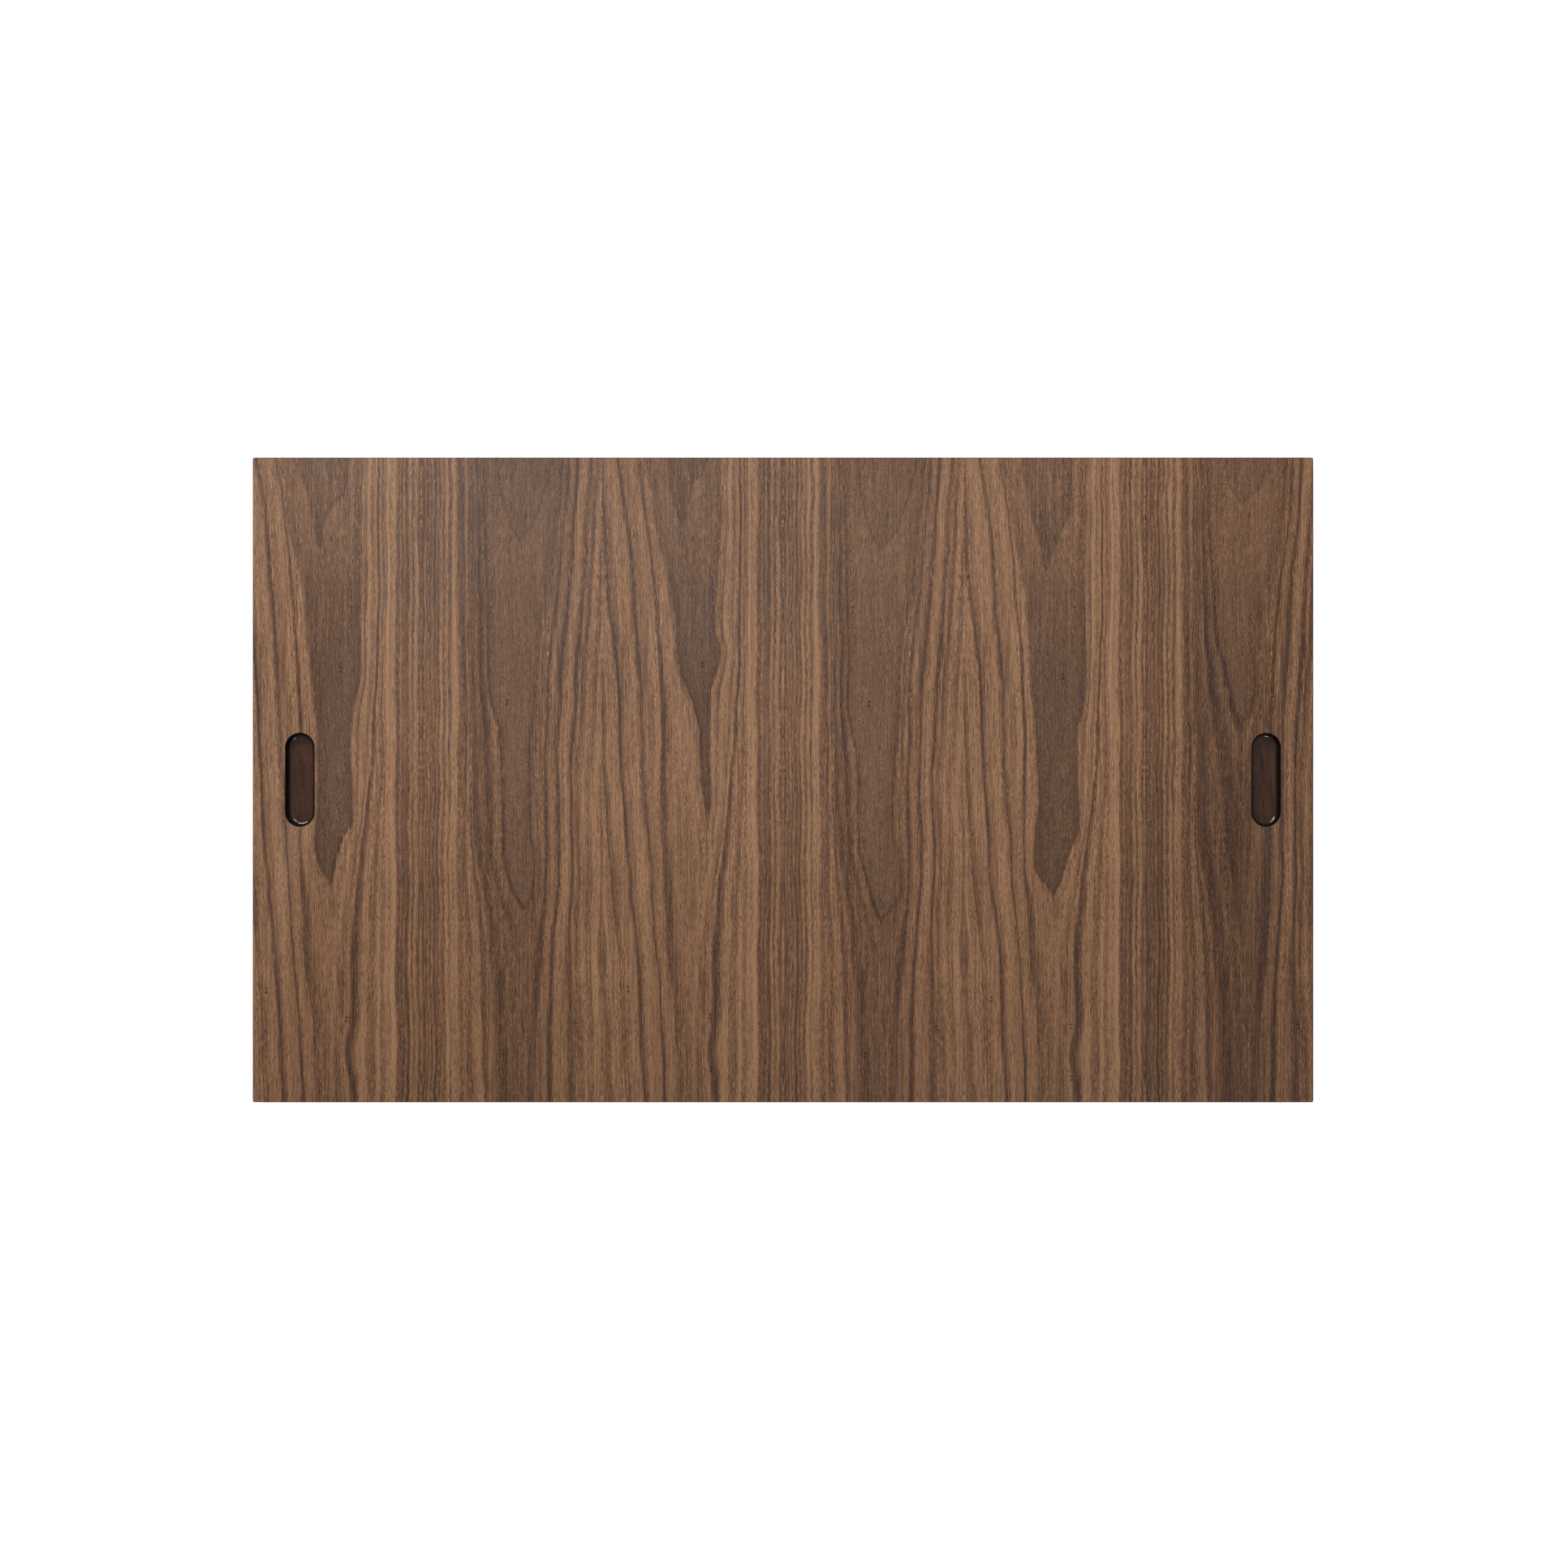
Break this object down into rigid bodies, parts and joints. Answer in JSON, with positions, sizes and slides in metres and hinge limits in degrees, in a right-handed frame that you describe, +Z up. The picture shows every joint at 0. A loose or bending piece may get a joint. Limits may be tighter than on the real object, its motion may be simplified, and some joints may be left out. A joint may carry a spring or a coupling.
{
  "type": "serving tray",
  "caption": "Flat rectangular serving tray in book-matched dark wood veneer, with a blind round-ended finger grip routed into the face near each short side and low rubber feet.",
  "frame": {"origin": "centre of the footprint, on the surface that the feet stand on", "axes": "+X along the tray's length from the left grip to the right grip, +Y across it along the grain towards the back, +Z up out of the serving face"},
  "size_m": [0.74, 0.45, 0.023],
  "materials": {
    "walnut_veneer": "satin lacquer",
    "backing_veneer": "thin matt lacquer",
    "edge_lipping": "dark stain, satin lacquer",
    "grip_hardwood": "dark stain, gloss lacquer",
    "core": "bare plywood",
    "rubber": "matt moulded",
    "steel": "zinc plated"
  },
  "bodies": {
    "root": {"core_board": "core", "front_lipping": "edge_lipping", "back_lipping": "edge_lipping", "left_lipping": "edge_lipping", "right_lipping": "edge_lipping", "face_veneer_1": "walnut_veneer", "face_veneer_2": "walnut_veneer", "face_veneer_3": "walnut_veneer", "face_veneer_4": "walnut_veneer", "face_veneer_5": "walnut_veneer", "face_veneer_6": "walnut_veneer", "back_veneer_1": "backing_veneer", "back_veneer_2": "backing_veneer", "back_veneer_3": "backing_veneer", "back_veneer_4": "backing_veneer", "back_veneer_5": "backing_veneer", "back_veneer_6": "backing_veneer", "left_grip_insert": "grip_hardwood", "right_grip_insert": "grip_hardwood", "front_left_foot_pad": "rubber", "front_left_foot_washer": "steel", "front_left_foot_screw": "steel", "front_right_foot_pad": "rubber", "front_right_foot_washer": "steel", "front_right_foot_screw": "steel", "back_left_foot_pad": "rubber", "back_left_foot_washer": "steel", "back_left_foot_screw": "steel", "back_right_foot_pad": "rubber", "back_right_foot_washer": "steel", "back_right_foot_screw": "steel"}
  },
  "joints": []
}
